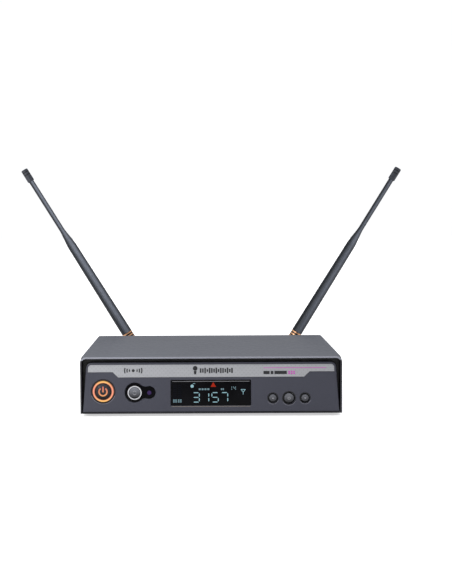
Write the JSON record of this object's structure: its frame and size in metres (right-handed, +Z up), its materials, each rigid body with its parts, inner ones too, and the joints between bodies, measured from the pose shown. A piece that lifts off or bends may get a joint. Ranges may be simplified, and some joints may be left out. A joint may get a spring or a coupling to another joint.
{
  "type": "wireless receiver unit",
  "caption": "Half-width rack wireless microphone receiver with a display, push buttons and elbow antennas on its rear wall.",
  "frame": {"origin": "middle of the case in X, which is 2.2 mm from the middle of the bounding box, middle of the bounding box in Y, on the surface the feet stand on", "axes": "the front with display and buttons faces -Y, +X is the viewer's right, +Z is up"},
  "size_m": [0.3634, 0.1982, 0.2062],
  "materials": {
    "case_paint": "satin grey powder coat",
    "panel_grey": "satin grey",
    "label_silver": "satin silver film",
    "smoked_window": "polished smoke",
    "button_black": "gloss",
    "light_ring": "lit diffuser",
    "chrome": "polished",
    "nickel": "nickel plate",
    "plated_steel": "zinc plate",
    "antenna_rubber": "satin moulded",
    "ring_copper": "copper colour",
    "board_green": "solder resist",
    "black_plastic": "satin",
    "foot_rubber": "matt",
    "ir_emitter": "clear tinted",
    "ribbon_grey": "flat cable"
  },
  "bodies": {
    "unit": {"top_cover": "case_paint", "chassis": "case_paint", "front_panel": "panel_grey", "label_strip": "label_silver", "display_window": "smoked_window", "ir_window": "smoked_window", "ir_led": "ir_emitter", "power_light_ring": "light_ring", "sync_button_trim": "chrome", "power_switch": "black_plastic", "sync_switch": "black_plastic", "up_switch": "black_plastic", "set_switch": "black_plastic", "down_switch": "black_plastic", "lcd_module": "black_plastic", "display_board": "board_green", "main_board": "board_green", "main_board_screw_1": "plated_steel", "main_board_screw_2": "plated_steel", "tuner_can_left": "nickel", "tuner_can_right": "nickel", "ribbon_cable": "ribbon_grey", "foot_1": "foot_rubber", "foot_2": "foot_rubber", "foot_3": "foot_rubber", "foot_4": "foot_rubber", "cover_screw_1": "plated_steel", "cover_screw_2": "plated_steel", "cover_screw_3": "plated_steel", "cover_screw_4": "plated_steel", "xlr_socket": "black_plastic", "xlr_screw_1": "plated_steel", "xlr_screw_2": "plated_steel", "phone_jack": "black_plastic", "dc_socket": "black_plastic", "level_pot": "black_plastic", "antenna_socket_left": "nickel", "antenna_socket_right": "nickel", "antenna_socket_nut_left": "nickel", "antenna_socket_nut_right": "nickel"},
    "power_key": {"power_button": "button_black"},
    "sync_key": {"sync_button": "button_black"},
    "up_key": {"up_button": "button_black"},
    "set_key": {"set_button": "button_black"},
    "down_key": {"down_button": "button_black"},
    "level_control": {"level_knob": "black_plastic"},
    "left_plug": {"plug_body_left": "nickel", "elbow_pin_left": "plated_steel"},
    "left_nut": {"bayonet_nut_left": "nickel"},
    "left_antenna": {"antenna_foot_left": "antenna_rubber", "ring_ferrule_left": "ring_copper", "antenna_sleeve_left": "antenna_rubber", "antenna_tip_left": "antenna_rubber"},
    "right_plug": {"plug_body_right": "nickel", "elbow_pin_right": "plated_steel"},
    "right_nut": {"bayonet_nut_right": "nickel"},
    "right_antenna": {"antenna_foot_right": "antenna_rubber", "ring_ferrule_right": "ring_copper", "antenna_sleeve_right": "antenna_rubber", "antenna_tip_right": "antenna_rubber"}
  },
  "joints": [
    {"name": "power_push", "type": "slide", "parent": "unit", "child": "power_key", "axis": [0, 1, 0], "range_m": [0, 0.002], "stiffness_N_per_m": 500, "springref_m": -0.001},
    {"name": "sync_push", "type": "slide", "parent": "unit", "child": "sync_key", "axis": [0, 1, 0], "range_m": [0, 0.0008], "stiffness_N_per_m": 1200, "springref_m": -0.0004},
    {"name": "up_push", "type": "slide", "parent": "unit", "child": "up_key", "axis": [0, 1, 0], "range_m": [0, 0.0008], "stiffness_N_per_m": 1200, "springref_m": -0.0004},
    {"name": "set_push", "type": "slide", "parent": "unit", "child": "set_key", "axis": [0, 1, 0], "range_m": [0, 0.0008], "stiffness_N_per_m": 1200, "springref_m": -0.0004},
    {"name": "down_push", "type": "slide", "parent": "unit", "child": "down_key", "axis": [0, 1, 0], "range_m": [0, 0.0008], "stiffness_N_per_m": 1200, "springref_m": -0.0004},
    {"name": "level_turn", "type": "hinge", "parent": "unit", "child": "level_control", "pos_m": [-0.032, 0.07, 0.0245], "axis": [0, 1, 0], "range_deg": [-150, 150]},
    {"name": "left_swivel", "type": "hinge", "parent": "unit", "child": "left_plug", "pos_m": [-0.0657, 0.08, 0.0245], "axis": [0, -1, 0], "range_deg": [-47, 58]},
    {"name": "left_elbow", "type": "hinge", "parent": "left_plug", "child": "left_antenna", "pos_m": [-0.0657, 0.09394, 0.0245], "axis": [-0.8508, 0, -0.5255], "range_deg": [0, 90]},
    {"name": "left_lock", "type": "hinge", "parent": "left_plug", "child": "left_nut", "pos_m": [-0.0657, 0.075, 0.0245], "axis": [0, 1, 0], "range_deg": [0, 90]},
    {"name": "right_swivel", "type": "hinge", "parent": "unit", "child": "right_plug", "pos_m": [0.0701, 0.08, 0.0245], "axis": [0, 1, 0], "range_deg": [-47, 58]},
    {"name": "right_elbow", "type": "hinge", "parent": "right_plug", "child": "right_antenna", "pos_m": [0.0701, 0.09394, 0.0245], "axis": [-0.8508, 0, 0.5255], "range_deg": [0, 90]},
    {"name": "right_lock", "type": "hinge", "parent": "right_plug", "child": "right_nut", "pos_m": [0.0701, 0.075, 0.0245], "axis": [0, 1, 0], "range_deg": [0, 90]}
  ]
}
